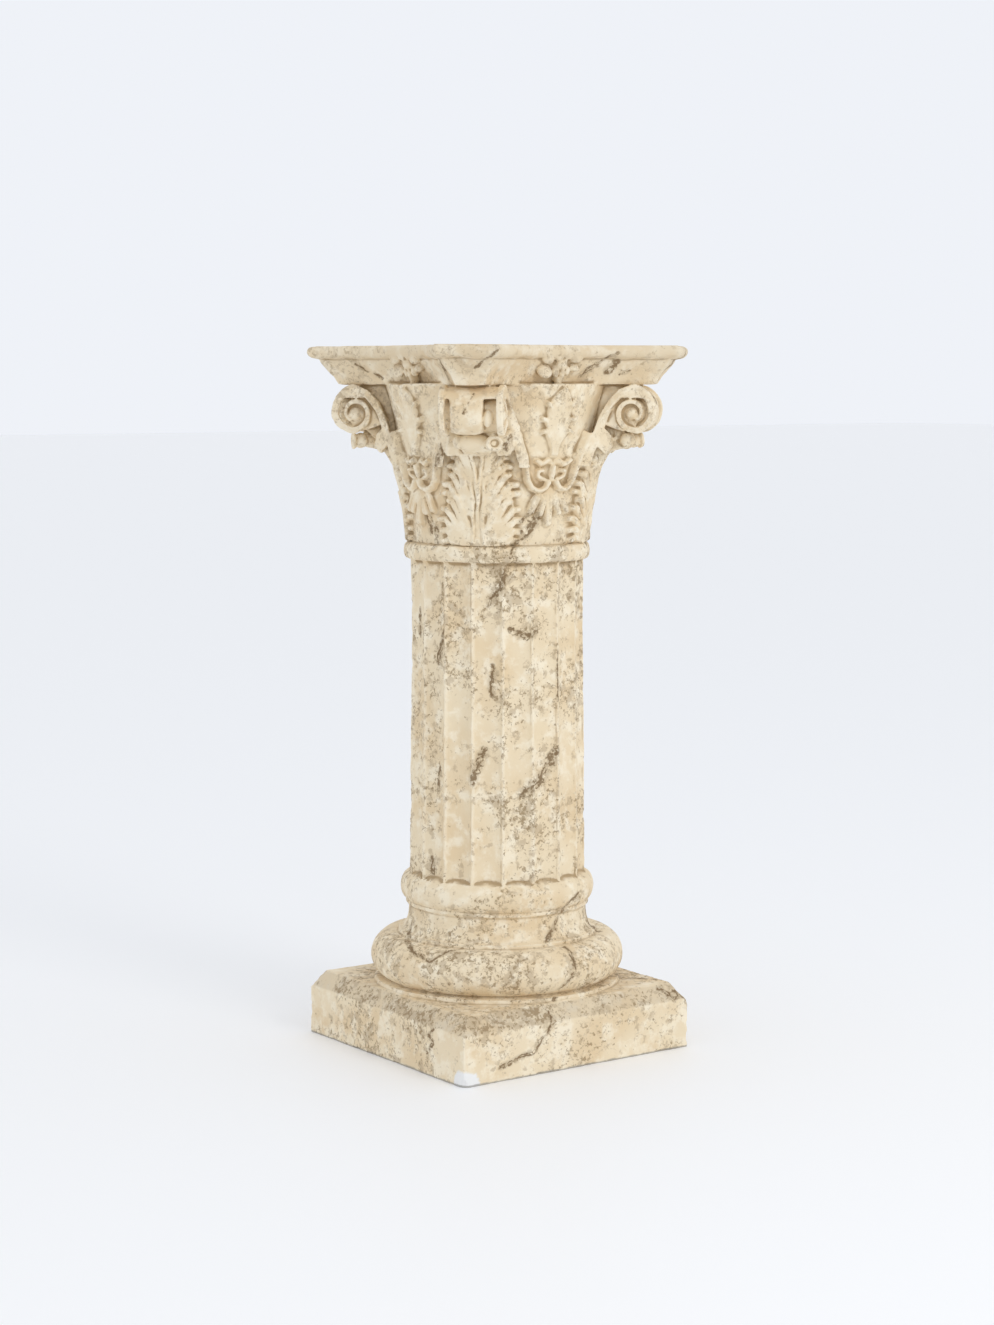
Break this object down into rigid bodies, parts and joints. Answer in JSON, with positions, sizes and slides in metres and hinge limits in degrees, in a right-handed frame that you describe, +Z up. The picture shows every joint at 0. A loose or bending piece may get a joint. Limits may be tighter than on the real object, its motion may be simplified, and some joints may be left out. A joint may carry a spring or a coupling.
{
  "type": "corinthian column pedestal",
  "caption": "Short fluted column pedestal with a square plinth, moulded base, leaf-and-volute capital and a flat top for a vase or bust.",
  "frame": {"origin": "centre of the underside of the plinth, on the floor", "axes": "+Z up along the shaft, -Y out of the front face of the plinth, +X to its right"},
  "size_m": [0.355, 0.355, 0.8],
  "materials": {
    "painted_plaster": "matt cream paint with brown flecks and veins, in imitation of travertine"
  },
  "bodies": {
    "root": {"column": "painted_plaster"}
  },
  "joints": []
}
